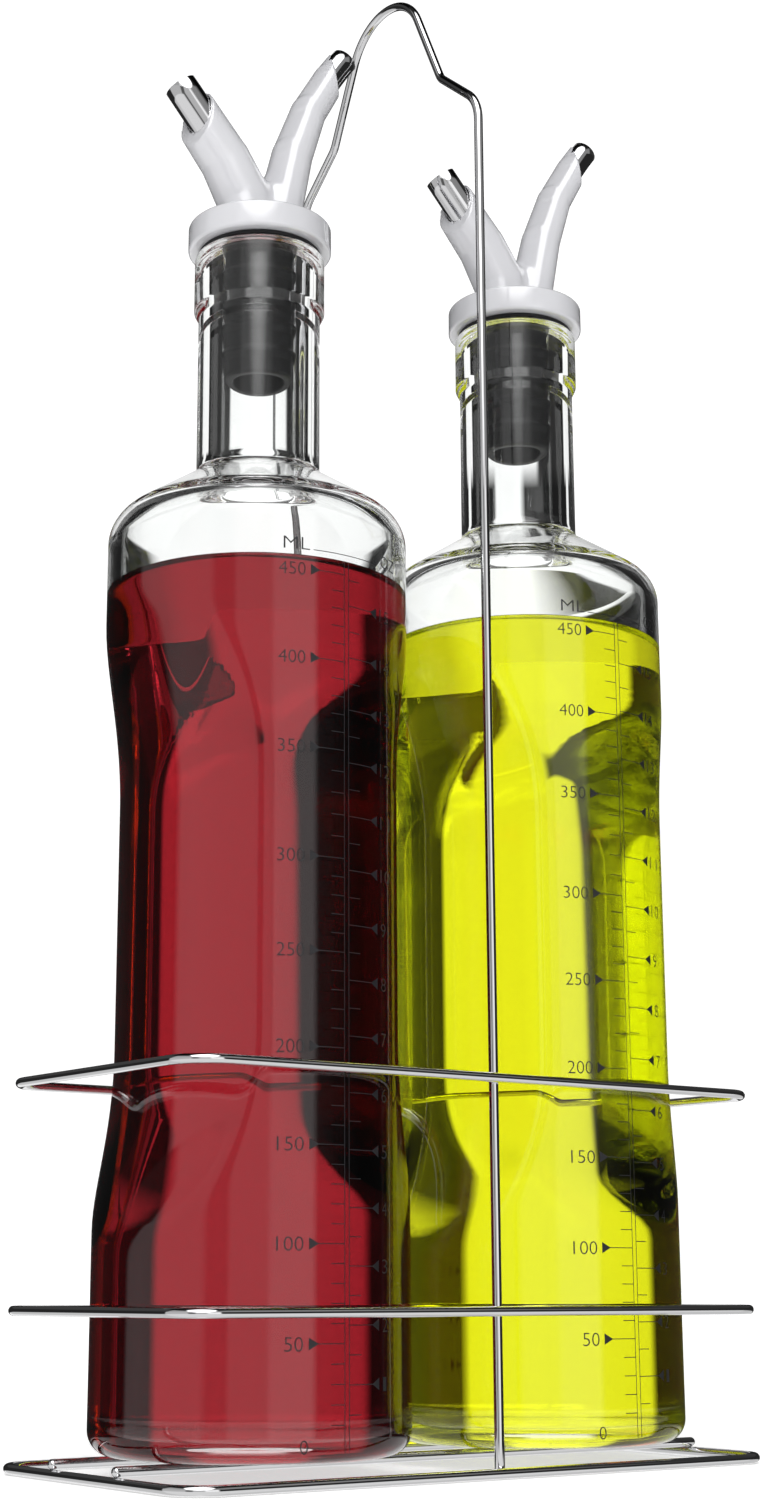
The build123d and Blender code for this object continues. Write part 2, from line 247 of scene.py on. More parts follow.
def outward(points, faces):
    """Turns the faces round if the closed surface is inside out."""
    first = np.array([face[0] for face in faces for _ in range(len(face) - 2)])
    second = np.array([v for face in faces for v in face[1:-1]])
    third = np.array([v for face in faces for v in face[2:]])
    volume = np.einsum("ij,ij->", points[first], np.cross(points[second], points[third]))
    return points, (faces if volume > 0 else [face[::-1] for face in faces])


def tube(path, radius, sides=28, bore=0.0, closed=False, round_ends=0.0):
    """Points and faces of a round bar or tube along a path of points."""
    path = np.array(path, float)
    n = len(path)
    if closed:
        along = np.roll(path, -1, 0) - np.roll(path, 1, 0)
    else:
        along = np.gradient(path, axis=0)
    along /= np.linalg.norm(along, axis=1)[:, None]
    side = np.cross(along[0], (0.0, 0.0, 1.0))
    if np.linalg.norm(side) < 0.1:
        side = np.cross(along[0], (1.0, 0.0, 0.0))
    side /= np.linalg.norm(side)
    frames = []
    for t in along:
        side = side - t * (side @ t)
        side /= np.linalg.norm(side)
        frames.append((side, np.cross(t, side)))
    turn = np.arange(sides) * 2 * math.pi / sides
    cosine, sine = np.cos(turn)[:, None], np.sin(turn)[:, None]

    def ring(i, r, shift=0.0):
        """Points round the path at one of its points, moved a little along it."""
        across, deep = frames[i]
        return path[i] + along[i] * shift + r * (cosine * across + sine * deep)

    edge = min(0.12, radius * 0.1)
    if closed:
        rings = [ring(i, radius) for i in range(n)]
    elif bore:
        rings = [ring(0, radius - edge), ring(0, radius, edge)]
        rings += [ring(i, radius) for i in range(1, n - 1)]
        rings += [ring(n - 1, radius, -edge), ring(n - 1, radius - edge)]
        rings += [ring(n - 1, bore + edge), ring(n - 1, bore, -edge)]
        rings += [ring(i, bore) for i in range(n - 2, 0, -1)]
        rings += [ring(0, bore, edge), ring(0, bore + edge)]
    else:
        tip = round_ends or 0.001
        quarter = [math.pi / 2 * k / 4 for k in range(5)]
        cap = [(max(radius - tip + tip * math.sin(a), 1e-3), tip * (1 - math.cos(a))) for a in quarter]
        rings = [ring(0, r, shift) for r, shift in cap]
        rings += [ring(i, radius) for i in range(1, n - 1)]
        rings += [ring(n - 1, r, -shift) for r, shift in reversed(cap)]
    points = np.concatenate(rings)
    count = len(rings)
    faces = []
    for i in range(count if closed or bore else count - 1):
        a, b = i * sides, ((i + 1) % count) * sides
        for k in range(sides):
            j = (k + 1) % sides
            faces.append((a + k, a + j, b + j, b + k))
    if not closed and not bore:
        faces.append(tuple(range(sides - 1, -1, -1)))
        faces.append(tuple(range((count - 1) * sides, count * sides)))
    return outward(points, faces)


# ---------------------------------------------------------------- rack

def rail_path(z):
    """Centre line of a ring: a closed rounded rectangle."""
    path = []
    for sx, sy, start in ((1, -1, -90), (1, 1, 0), (-1, 1, 90), (-1, -1, 180)):
        for k in range(13):
            a = math.radians(start + 90 * k / 12)
            path.append((sx * (RAIL_X - RAIL_CORNER) + RAIL_CORNER * math.cos(a),
                         sy * (RAIL_Y - RAIL_CORNER) + RAIL_CORNER * math.sin(a), z))
    return path


def handle_path():
    """Centre line of the handle wire: up one leg, over the arch and down the other."""
    half = [np.array(p) for p in ARCH]
    whole = half + [np.array((-y, z)) for y, z in reversed(half[:-1])]
    bends = ARCH_BENDS + ARCH_BENDS[1::-1]
    line = refine(rounded(whole, bends, step=5.0), 12.0)
    return [(0.0, -y, z) for y, z in line]


for node, z in RAILS:
    rail_mesh = tube(rail_path(z), WIRE, closed=True)
    rail = add_mesh(f"{node}_wire", *rail_mesh, CHROME, "rack", "chrome_wire")
    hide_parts(node)
arch = add_mesh("handle_arch_wire", *tube(handle_path(), WIRE), CHROME, "rack", "chrome_wire")
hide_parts("handle_wire")
for node, y in SUPPORTS:
    path = [(SUPPORT_REACH * (k / 10 - 1), y, SUPPORT_Z) for k in range(21)]
    rod_mesh = tube(path, WIRE, round_ends=SUPPORT_TIP)
    rod = add_mesh(f"{node}_rod", *rod_mesh, CHROME, "rack", "chrome_wire")
    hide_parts(node)


# ---------------------------------------------------------------- bottles

def soft_min(a, b, k=CREASE):
    """The smaller of two, with the meeting rounded."""
    h = np.maximum(k - np.abs(a - b), 0.0) / k
    return np.minimum(a, b) - h * h * k / 4


def grip_radius(angle, z, inset):
    """Distance from the bottle's axis to the grips' surface, far outside where there is none."""
    run = GRIP_RUN + inset
    past = max(GRIP_LOW - z, z - GRIP_HIGH, 0.0)
    if past >= run:
        return np.full(len(angle), NO_GRIP)
    spine = GRIP_RADIUS - GRIP_FLOOR
    rho = GRIP_RADIUS - inset + run - math.sqrt(run * run - past * past)
    across = spine * np.abs(np.cos(angle))
    return -across + np.sqrt(across**2 + rho**2 - spine**2)


def gripped(inset):
    """The shape function of a barrel surface that lies this far inside the outer one."""
    def shape(r, angle, z):
        """The profile's radius, or less where a grip presses in."""
        if not GRIP_LIMITS[0] <= z <= GRIP_LIMITS[1] or r < GRIP_CORE:
            return np.full(len(angle), r)
        return soft_min(np.full(len(angle), r), grip_radius(angle, z, inset))
    return shape


# The glass: how steeply the shoulder rises, how far its inside lies below, and the profiles
SLOPE = (NECK_ROOT_Z - SHOULDER_Z) / (BARREL - NECK)
DROP = WALL * math.sqrt(1 + SLOPE**2)
OUTER = rounded(
    [(0, FOOT_Z), (BARREL, FOOT_Z), (BARREL, SHOULDER_Z), (NECK, NECK_ROOT_Z), (NECK, FINISH_Z - 1),
     (FINISH, FINISH_Z + 1), (FINISH, LIP_Z), (BORE, LIP_Z)],
    (5.0, 8.5, 3.5, 1.0, 1.0, 1.2), step=5.0)
INNER = rounded(
    [(0, FLOOR_Z), (BARREL - WALL, FLOOR_Z), (BARREL - WALL, SHOULDER_Z + WALL * SLOPE - DROP),
     (BORE, SHOULDER_Z + (BARREL - BORE) * SLOPE - DROP), (BORE, LIP_Z)],
    (4.0, 6.0, 3.0), step=5.0)
LIP_DEPTH = 3.0
LIP = rounded(
    [(FINISH, LIP_Z - LIP_DEPTH), (FINISH, LIP_Z), (BORE, LIP_Z), (BORE, LIP_Z - LIP_DEPTH)],
    (1.2, 0.8), step=10.0)


def glass_surface(x):
    """The bottle's glass: outside, lip and inside as one closed surface."""
    outer, inner = refine(OUTER, 2.0)[:-1], refine(INNER, 2.0)[::-1]
    outer = outer[outer[:, 1] < LIP_Z - LIP_DEPTH]
    inner = inner[inner[:, 1] < LIP_Z - LIP_DEPTH]
    outside, inside = gripped(0.0), gripped(WALL)

    def shape(r, angle, z):
        """Lets the grips press into both sides of the glass."""
        return (inside if is_inner(r, z) else outside)(r, angle, z)

    return lathe(np.concatenate((outer, LIP, inner)), x, BOTTLE_SEGMENTS, shape=shape)


def is_inner(r, z):
    """True for a profile point of the inside of the glass."""
    return r < BARREL - WALL + 0.01 and FLOOR_Z - 0.01 <= z < GRIP_LIMITS[1]


def liquid_surface(x):
    """The liquid: it meets the glass all round and climbs it a little at the top."""
    wall = BARREL - WALL + OVERLAP
    foot = FLOOR_Z - OVERLAP
    body = refine(rounded([(0, foot), (wall, foot), (wall, FILL_Z)], (4.0,)), 2.0)[:-1]
    inwards = (0.0, 0.15, 0.3, 0.5, 0.8, 1.2, 1.8, 2.6, 4.0, 7.0)
    top = [(wall - d, FILL_Z + CLIMB * math.exp(-d / CLIMB_WIDTH)) for d in inwards]
    rows = list(body) + [(wall, FILL_Z + CLIMB * 2 / 3)] + top + [(12.0, FILL_Z), (0.0, FILL_Z)]
    return lathe(rows, x, BOTTLE_SEGMENTS, shape=gripped(WALL - OVERLAP))


# ---------------------------------------------------------------- printed scale

def on_barrel(x, across, z):
    """A point of the front of the barrel, a hair proud of the glass."""
    r = BARREL + 0.03
    return (x + across, AXIS_Y - math.sqrt(r * r - across * across), z)


def strip(points, faces, x, a, b, thick):
    """A line of ink between two (across, z) points, bent round the barrel."""
    a, b = np.array(a, float), np.array(b, float)
    along = (b - a) / np.linalg.norm(b - a)
    side = np.array((along[1], -along[0])) * thick / 2
    count = max(1, math.ceil(abs(b[0] - a[0]) / 0.8))
    for i in range(count + 1):
        p = a + (b - a) * i / count
        base = len(points)
        points += [on_barrel(x, *(p - side)), on_barrel(x, *(p + side))]
        if i:
            faces.append((base - 2, base - 1, base + 1, base))


def pointer(points, faces, x, tip, base, z, half):
    """A small solid arrowhead."""
    start = len(points)
    points += [on_barrel(x, tip, z), on_barrel(x, base, z + half), on_barrel(x, base, z - half)]
    faces.append((start, start + 1, start + 2) if tip > base else (start, start + 2, start + 1))


CAPITAL_HEIGHT = 0.7
GLYPHS = {}


def glyph_mesh(text):
    """Flat mesh of a piece of text, one unit high, from its lower left corner."""
    if text not in GLYPHS:
        curve = bpy.data.curves.new("ink", "FONT")
        curve.body = text
        curve.resolution_u = 4
        curve.offset = -0.012
        holder = bpy.data.objects.new("ink", curve)
        mesh = bpy.data.meshes.new_from_object(holder)
        co = np.array([v.co[:2] for v in mesh.vertices])
        polygons = [tuple(p.vertices) for p in mesh.polygons]
        GLYPHS[text] = ((co - co.min(0)) / CAPITAL_HEIGHT, polygons)
        bpy.data.objects.remove(holder)
        bpy.data.curves.remove(curve)
        bpy.data.meshes.remove(mesh)
    return GLYPHS[text]


def write(points, faces, x, text, left, right, z, height):
    """Text on the barrel, centred on a height; it fills the width between left and right."""
    co, polygons = glyph_mesh(text)
    width = co[:, 0].max()
    start = len(points)
    for u, v in co:
        points.append(on_barrel(x, left + (right - left) * u / width, z - height / 2 + height * v))
    faces += [tuple(start + i for i in p) for p in polygons]


# Heights of the millilitre marks, and the ounce marks' spacing and start
ML_Z = (7.4, 25.8, 44.1, 62.6, 81.1, 99.7, 118.3, 140.2, 158.5, 176.9)
OUNCE = 10.87
OUNCE_START = 7.4
OUNCES = 15.5
# Thickness of a line, height of the print and half the height of a pointer
LINE, PRINT, POINTER = 0.17, 2.75, 1.15
# Places to the left and right of the middle of the barrel's front: the two upright lines, how far
# the short and long marks reach, the pointers' tips and tails, and where the numbers start
RULE_LEFT, RULE_RIGHT = -0.18, 0.88
ML_SHORT, ML_LONG, ML_TIP, ML_TAIL, ML_TEXT = -3.2, -5.9, -5.8, -7.8, -8.9
OZ_SHORT, OZ_LONG, OZ_TIP, OZ_TAIL, OZ_TEXT = 3.8, 6.9, 6.8, 8.8, 9.9
# Width of a digit, and how much narrower a number is that starts with (or is) a 1
ML_DIGIT, ML_ONE, OZ_DIGIT, OZ_ONE = 1.72, 0.25, 1.6, 0.5
UNITS_Z, UNITS_RULE_Z = 182.3, 181.1


def printed_scale(x):
    """Millilitres to the left of a double line and ounces to the right."""
    points, faces = [], []

    def dash(start, end, z):
        """A level line of the scale."""
        strip(points, faces, x, (start, z), (end, z), LINE)

    for across in (RULE_LEFT, RULE_RIGHT):
        strip(points, faces, x, (across, ML_Z[0] - 1.2), (across, ML_Z[-1] + 2.8), LINE)
    for i, z in enumerate(ML_Z):
        if i:
            dash(ML_LONG, RULE_LEFT, z)
            pointer(points, faces, x, ML_TIP, ML_TAIL, z, POINTER)
            text = str(50 * i)
            left = ML_TEXT - ML_DIGIT * len(text) + (ML_ONE if text[0] == "1" else 0)
            write(points, faces, x, text, left, ML_TEXT, z, PRINT)
        if i + 1 < len(ML_Z):
            for k in range(1, 5):
                dash(ML_SHORT, RULE_LEFT, z + (ML_Z[i + 1] - z) * k / 5)
    for i in range(1, int(2 * OUNCES) + 1):
        z = OUNCE_START + OUNCE * i / 2
        if i % 2:
            dash(RULE_RIGHT, OZ_SHORT, z)
        else:
            dash(RULE_RIGHT, OZ_LONG, z)
            pointer(points, faces, x, OZ_TIP, OZ_TAIL, z, POINTER)
            text = str(i // 2)
            right = OZ_TEXT + OZ_DIGIT * len(text) - (OZ_ONE if text == "1" else 0)
            write(points, faces, x, text, OZ_TEXT, right, z, PRINT)
    write(points, faces, x, "0", -9.4, -7.9, ML_Z[0], 2.6)
    write(points, faces, x, "ML", -13.2, -8.0, UNITS_Z, PRINT)
    write(points, faces, x, "OZ", 10.4, 15.4, UNITS_Z, PRINT)
    dash(ML_TAIL + 0.6, OZ_TAIL, UNITS_RULE_Z)
    return np.array(points), faces


# ---------------------------------------------------------------- stopper

def stopper_surface(x):
    """Rubber sleeve with four soft ribs and a flange that hugs the pourer's collar."""
    outline = [(STOPPER_BORE, STOPPER_FOOT), (SLEEVE, STOPPER_FOOT)]
    radii = [0.5, 0.8]
    crest = BORE - 0.04
    for k in range(RIBS):
        z = FIRST_RIB + RIB_PITCH * k
        outline += [(SLEEVE, z - 1.5), (crest, z - 0.35), (crest, z + 0.35), (SLEEVE, z + 1.5)]
        radii += [1.2, 0.4, 0.4, 1.2]
    outline += [(SLEEVE, FLANGE_FOOT), (FLANGE_RADIUS, FLANGE_FOOT), (FLANGE_RADIUS, FLANGE_TOP),
                (STOPPER_BORE, FLANGE_TOP)]
    radii += [0.0, 0.4, 0.4, 0.3]
    ring = rounded([outline[-1]] + outline + [outline[0]], radii, step=15.0)[1:-1]
    return lathe(ring, x, 120, closed=True)


# ---------------------------------------------------------------- pourer

def pourer_frame(x):
    """Matrix that takes (out, up, sideways) in the plane of a pourer's arms to the row frame."""
    c, s = math.cos(POURER_TURN), math.sin(POURER_TURN)
    return np.array(((c, 0.0, -s), (s, 0.0, c), (0.0, 1.0, 0.0))), np.array((x, AXIS_Y, 0.0))


def spout_path(start):
    """Centre line of the short tube in the plane of the arms, from a height in its bend upwards."""
    turns = [SPOUT_TILT * k / 8 for k in range(9)]
    bend = [(SPOUT_ROOT - SPOUT_BEND * (1 - math.cos(a)), COLLAR_TOP + SPOUT_BEND * math.sin(a))
            for a in turns]
    line = [point for point in bend if point[1] > start]
    out, knee = bend[-1]
    for k in range(1, 7):
        z = knee + (SPOUT_END_Z - knee) * k / 6
        line.append((out - (z - knee) * math.tan(SPOUT_TILT), z))
    return line


def vent_path(start):
    """Centre line of the tall tube in the plane of the arms: one long bend."""
    low, high = (math.asin((z - COLLAR_TOP) / VENT_BEND) for z in (start, VENT_END_Z))
    turns = [low + (high - low) * k / 10 for k in range(11)]
    return [(VENT_ROOT + VENT_BEND * (1 - math.cos(a)), COLLAR_TOP + VENT_BEND * math.sin(a))
            for a in turns]


def placed_path(path, x):
    """Points of the arms' plane in the row frame."""
    turn, origin = pourer_frame(x)
    return [tuple(turn @ np.array((u, z, 0.0)) + origin) for u, z in path]


def smooth_union(a, b, k):
    """The union of two distance fields, blended where they meet."""
    h = np.clip(0.5 + 0.5 * (b - a) / k, 0.0, 1.0)
    return b * (1 - h) + a * h - k * h * (1 - h)


def horn(u, w, z, path, flat=0.0):
    """Distance to a limb: a chain of (u, z, half width in the plane, half depth) stations.

    flat planes off one side of the limb, at this part of its half width.
    """
    best = np.full(u.shape, FAR)
    for (u0, z0, a0, b0), (u1, z1, a1, b1) in zip(path, path[1:]):
        du, dz = u1 - u0, z1 - z0
        length = math.hypot(du, dz)
        t = np.clip(((u - u0) * du + (z - z0) * dz) / length**2, 0.0, 1.0)
        off_u, off_z = u - (u0 + du * t), z - (z0 + dz * t)
        along = (off_u * du + off_z * dz) / length
        across = (off_u * dz - off_z * du) / length
        a, b = a0 + (a1 - a0) * t, b0 + (b1 - b0) * t
        powers = np.abs(across / a)**SQUARENESS + np.abs(w / b)**SQUARENESS
        reach = (powers + np.abs(along / a)**SQUARENESS) ** (1 / SQUARENESS)
        if flat:
            past_flat = (FLAT_ACROSS * across / a + FLAT_DEEP * w / b) / flat
            reach = -soft_min(-reach, -past_flat, 0.25)
        best = np.minimum(best, (reach - 1.0) * np.minimum(a, b))
    return best


def beyond_cut(u, w, z, cut, facing):
    """Distance past an arm's slanted cut; facing is 1 for an arm that leans right, -1 for left."""
    out, up, lean, slant = cut
    return facing * ((u - out) * math.cos(lean) - (z - up) * math.sin(lean)) - slant * w


def channel(u, w, z):
    """Distance to the hole in the short arm that the steel tube sits in."""
    line = spout_path(SPOUT_HOLE_START)
    line.append((2 * line[-1][0] - line[-2][0], 2 * line[-1][1] - line[-2][1]))
    hole = np.full(u.shape, FAR)
    for (u0, z0), (u1, z1) in zip(line, line[1:]):
        du, dz = u1 - u0, z1 - z0
        t = np.clip(((u - u0) * du + (z - z0) * dz) / (du * du + dz * dz), 0.0, 1.0)
        distance = np.sqrt((u - u0 - du * t)**2 + (z - z0 - dz * t)**2 + w**2)
        hole = np.minimum(hole, distance - SPOUT_TUBE - TUBE_GAP)
    return hole


def pourer_field(u, w, z):
    """Signed distance, negative inside, of the pourer above its collar's top."""
    spout = np.maximum(horn(u, w, z, SPOUT_ARM), beyond_cut(u, w, z, SPOUT_CUT, -1))
    vent = np.maximum(horn(u, w, z, VENT_ARM, VENT_FLAT), beyond_cut(u, w, z, VENT_CUT, 1))
    foot = COLLAR_TOP - 1.0
    round_swell = np.hypot(u, w) - SWELL_RADIUS - (COLLAR_TOP + 1.0 - z) * SWELL_FLARE
    swell = np.maximum(round_swell, np.abs(z - foot) - SWELL_HALF_HEIGHT)
    body = smooth_union(smooth_union(spout, vent, ARM_BLEND), swell, COLLAR_BLEND)
    return np.maximum(np.maximum(body, -channel(u, w, z)), foot - z)


def net_points(values, grid):
    """One point for every cell that the surface passes through, and the cells' point numbers."""
    shape = np.array(values.shape) - 1
    total, weight = np.zeros((*shape, 3)), np.zeros(shape)

    def at_corner(array, corner):
        """The grid's values at the same corner of every cell."""
        i, j, k = corner
        return array[i:i + shape[0], j:j + shape[1], k:k + shape[2]]

    for corner in [(i, j, k) for i in (0, 1) for j in (0, 1) for k in (0, 1)]:
        for axis in range(3):
            if corner[axis]:
                continue
            next_corner = tuple(1 if i == axis else v for i, v in enumerate(corner))
            here, there = at_corner(values, corner), at_corner(values, next_corner)
            cross = (here < 0) != (there < 0)
            part = np.where(cross, here / np.where(cross, here - there, 1.0), 0.0)
            start, end = at_corner(grid, corner), at_corner(grid, next_corner)
            total += np.where(cross[..., None], start + (end - start) * part[..., None], 0.0)
            weight += cross
    used = weight > 0
    index = np.full(shape, -1)
    index[used] = np.arange(int(used.sum()))
    return total[used] / weight[used][:, None], index


def pulled_on(field, points, longest):
    """Points moved onto a field's zero surface, in four steps of limited length."""
    nudge = 0.02
    for _ in range(4):
        value = field(*points.T)
        slope = [(field(*(points + axis * nudge).T) - value) / nudge for axis in np.eye(3)]
        slope = np.stack(slope, -1)
        move = slope * (value / np.maximum((slope**2).sum(1), 0.05))[:, None]
        length = np.linalg.norm(move, axis=1)
        points = points - move * np.minimum(1.0, longest / np.maximum(length, 1e-9))[:, None]
    return points


def net_faces(inside, index):
    """A quad round every grid edge that the surface crosses."""
    shape = index.shape
    faces = []
    for axis in range(3):
        a, b = [i for i in range(3) if i != axis]
        first, second = [slice(None)] * 3, [slice(None)] * 3
        first[axis], second[axis] = slice(0, -1), slice(1, None)
        for i in np.argwhere(inside[tuple(first)] != inside[tuple(second)]):
            if i[a] < 1 or i[b] < 1 or i[a] > shape[a] - 1 or i[b] > shape[b] - 1:
                continue
            quad = []
            for da, db in ((0, 0), (-1, 0), (-1, -1), (0, -1)):
                cell = i.copy()
                cell[a] += da
                cell[b] += db
                quad.append(int(index[tuple(cell)]))
            if min(quad) < 0:
                continue
            flip = bool(inside[tuple(i)]) == (axis == 1)
            faces.append(quad if flip else quad[::-1])
    return faces


def surface_net(field, low, high, cell):
    """Points and quads of the zero surface of a field sampled on a grid."""
    axes = [np.arange(a, b + cell, cell) for a, b in zip(low, high)]
    u, w, z = np.meshgrid(*axes, indexing="ij")
    values = field(u, w, z)
    points, index = net_points(values, np.stack((u, w, z), -1))
    return pulled_on(field, points, 0.3 * cell), net_faces(values < 0, index)


ARMS = surface_net(pourer_field, NET_LOW, NET_HIGH, NET_CELL)


def pourer_surface(x):
    """The pourer's two arms, its collar and the stem below it, as one mesh."""
    turn, origin = pourer_frame(x)
    arms, faces = outward(ARMS[0][:, [0, 2, 1]] @ turn.T + origin, ARMS[1])
    stem_foot = COLLAR_FOOT - STEM_LENGTH
    outline = rounded(
        [(0.0, COLLAR_TOP), (COLLAR_RADIUS, COLLAR_TOP), (COLLAR_RADIUS, COLLAR_FOOT),
         (STEM_RADIUS, COLLAR_FOOT), (STEM_RADIUS, stem_foot), (0.0, stem_foot)],
        (0.7, 0.7, 0.3, 0.5), step=15.0)
    collar, collar_faces = lathe(outline, x, 128)
    shifted = [[v + len(arms) for v in face] for face in collar_faces]
    return np.concatenate((arms, collar)), list(faces) + shifted


# ---------------------------------------------------------------- one set of pieces for each bottle

LIQUIDS = {"vinegar": (VINEGAR, "red_vinegar"), "oil": (OIL, "yellow_oil")}
TUBES = (("spout", spout_path(SPOUT_TUBE_START), SPOUT_TUBE),
         ("vent", vent_path(VENT_TUBE_START), VENT_TUBE))

for name, x in SETS:
    liquid, liquid_slot = LIQUIDS[name]
    bottle_body, stopper_body, pourer_body = (
        f"{name}_{part}_body" for part in ("bottle", "stopper", "pourer"))
    glass = add_mesh(f"{name}_bottle_glass", *glass_surface(x), GLASS, bottle_body, "clear_glass")
    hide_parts(f"{name}_bottle")
    contents = add_mesh(f"{name}_liquid", *liquid_surface(x), liquid, bottle_body, liquid_slot)
    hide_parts(f"{name}_fill")
    scale_mesh = printed_scale(x)
    add_mesh(f"{name}_printed_scale", *scale_mesh, INK, bottle_body, "black_rubber", smooth=False)
    stopper_mesh = stopper_surface(x)
    rubber = add_mesh(f"{name}_rubber_stopper", *stopper_mesh, RUBBER, stopper_body, "black_rubber")
    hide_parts(f"{name}_stopper")
    pourer_mesh = pourer_surface(x)
    plastic = add_mesh(f"{name}_white_pourer", *pourer_mesh, PLASTIC, pourer_body, "white_plastic")
    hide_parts(f"{name}_pourer")
    for part, path, radius in TUBES:
        steel_mesh = tube(placed_path(path, x), radius, sides=48, bore=radius - TUBE_WALL)
        metal = add_mesh(f"{name}_{part}_steel", *steel_mesh, STEEL, pourer_body, "steel_tube")
        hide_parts(f"{name}_{part}_tube")


# ---------------------------------------------------------------- floor

FLOOR_HALF, FLOOR_DROP, FLOOR_GREY, FLOOR_GLOW = 20.0, 0.0002, 0.9, 0.62


def make_floor():
    """A wide pale floor that gives off some light, and that glass and metal don't show."""
    signs = ((-1, -1), (1, -1), (1, 1), (-1, 1))
    corners = [(FLOOR_HALF * across, FLOOR_HALF * deep, -FLOOR_DROP) for across, deep in signs]
    mesh = bpy.data.meshes.new("floor")
    mesh.from_pydata(corners, [], [(0, 1, 2, 3)])
    mat = bpy.data.materials.new("floor")
    mat.use_nodes = True
    node = mat.node_tree.nodes["Principled BSDF"]
    node.inputs["Base Color"].default_value = (FLOOR_GREY, FLOOR_GREY, FLOOR_GREY, 1.0)
    node.inputs["Roughness"].default_value = 0.9
    node.inputs["Specular IOR Level"].default_value = 0.1
    node.inputs["Emission Color"].default_value = (1.0, 1.0, 1.0, 1.0)
    node.inputs["Emission Strength"].default_value = FLOOR_GLOW
    mesh.materials.append(mat)
    floor = bpy.data.objects.new("floor", mesh)
    bpy.context.scene.collection.objects.link(floor)
    floor.visible_transmission = False
    floor.visible_glossy = False


make_floor()


# ---------------------------------------------------------------- studio

# Which way the camera looks: turned to the right from the back of the rack, and upwards
YAW, PITCH = math.radians(35.962), math.radians(13.463)
AHEAD = np.array((math.sin(YAW), math.cos(YAW), 0.0))
RIGHT = np.array((math.cos(YAW), -math.sin(YAW), 0.0))
UP = np.array((0.0, 0.0, 1.0))

# The studio round the object as pairs of (angle, brightness). The angle is from straight ahead of
# the camera, turning to the right. Dark flags draw the edges of the glass and the chrome between
# a white background ahead and soft boxes at the sides. There is a band below eye level, one about
# level and one above, and each comes in up to three versions: for light that has crossed glass and
# liquid (AROUND), clear glass only (CLEAR), or nothing, as in reflections (MIRROR). The lowest band
# has no version for reflections, which show its AROUND.
BELOW_AROUND = ((-180, 0.75), (-90, 0.75), (-80, 0.6), (-42, 0.6), (-34, 0.9), (19, 0.9), (28, 0.6),
                (80, 0.6), (90, 0.75), (180, 0.75))
LEVEL_AROUND = ((-180, 0.4), (-168, 0.4), (-164, 0.1), (-152, 0.1), (-146, 0.45), (-86, 0.5),
                (-82, 0.02), (-36, 0.02), (-32, 1.0), (21, 1.0), (23.5, 0.02), (130, 0.02),
                (135, 0.5), (163, 0.5), (168, 0.4), (180, 0.4))
ABOVE_AROUND = ((-180, 0.8), (-150, 0.8), (-146, 0.4), (-90, 0.4), (-86, 0.05), (-20, 0.03),
                (-16, 1.0), (10, 1.0), (14, 0.03), (90, 0.03), (100, 0.25), (150, 0.25), (160, 0.8),
                (180, 0.8))
CLEAR_BELOW = ((-180, 0.75), (-90, 0.75), (-80, 0.6), (-30, 0.6), (-22, 0.8), (16, 0.8), (24, 0.6),
               (80, 0.6), (90, 0.75), (180, 0.75))
CLEAR_LEVEL = ((-180, 0.15), (-90, 0.15), (-80, 0.01), (-11, 0.01), (-9, 1.0), (6, 1.0), (8, 0.01),
               (90, 0.01), (140, 0.15), (180, 0.15))
CLEAR_ABOVE = ((-180, 0.3), (-90, 0.2), (-80, 0.01), (-24, 0.01), (-21, 1.0), (16, 1.0), (19, 0.01),
               (90, 0.01), (140, 0.2), (180, 0.3))
MIRROR_LEVEL = ((-180, 0.5), (-168, 0.5), (-164, 0.1), (-152, 0.1), (-146, 0.5), (-86, 0.5),
                (-82, 0.02), (130, 0.02), (135, 1.0), (163, 1.0), (168, 0.5), (180, 0.5))
MIRROR_ABOVE = ((-180, 0.8), (-150, 0.8), (-146, 0.4), (-90, 0.4), (-86, 0.05), (-12, 0.05),
                (-8, 0.6), (8, 0.6), (12, 0.05), (90, 0.03), (100, 0.25), (150, 0.25), (160, 0.8),
                (180, 0.8))
BELOW_FROM, ABOVE_FROM = (-12.0, -9.0), (19.8, 20.4)
# How many surfaces light may have crossed at most to meet the MIRROR and the CLEAR versions
MIRROR_MOST, CLEAR_MOST = 0.5, 4.5
# A bright window in the dark flag at the right, seen through liquid: left, right, low and high angle
WINDOW, WINDOW_SOFT, WINDOW_LIGHT = (96.5, 108.0, 2.0, 27.0), 1.8, 3.0
# A dark roof: the angles it fades in between, and its brightness
ROOF_FROM, ROOF_FULL, ROOF = 42.0, 50.0, 0.05
# A soft key light behind the camera: how high it stands, its half width and edge, and its brightness
KEY_TILT, KEY_SPREAD, KEY_SOFT, KEY = math.radians(50.0), 28.0, 4.0, 3.0
# Strength of the whole studio
LIGHT = 1.15

world = bpy.data.worlds.new("studio")
bpy.context.scene.world = world
world.use_nodes = True
nt = world.node_tree
toward = nt.nodes.new("ShaderNodeTexCoord").outputs["Generated"]
light_path = nt.nodes.new("ShaderNodeLightPath")
crossed = light_path.outputs["Transmission Depth"]


def calculate(operation, *values):
    """A Math node of the world, fed with sockets or numbers."""
    node = nt.nodes.new("ShaderNodeMath")
    node.operation = operation
    for socket, value in zip(node.inputs, values):
        if isinstance(value, bpy.types.NodeSocket):
            nt.links.new(value, socket)
        else:
            socket.default_value = value
    return node.outputs["Value"]


def along(direction):
    """How much a ray points in a direction: 1 straight along it and -1 the other way."""
    node = nt.nodes.new("ShaderNodeVectorMath")
    node.operation = "DOT_PRODUCT"
    nt.links.new(toward, node.inputs[0])
    node.inputs[1].default_value = tuple(direction)
    return node.outputs["Value"]


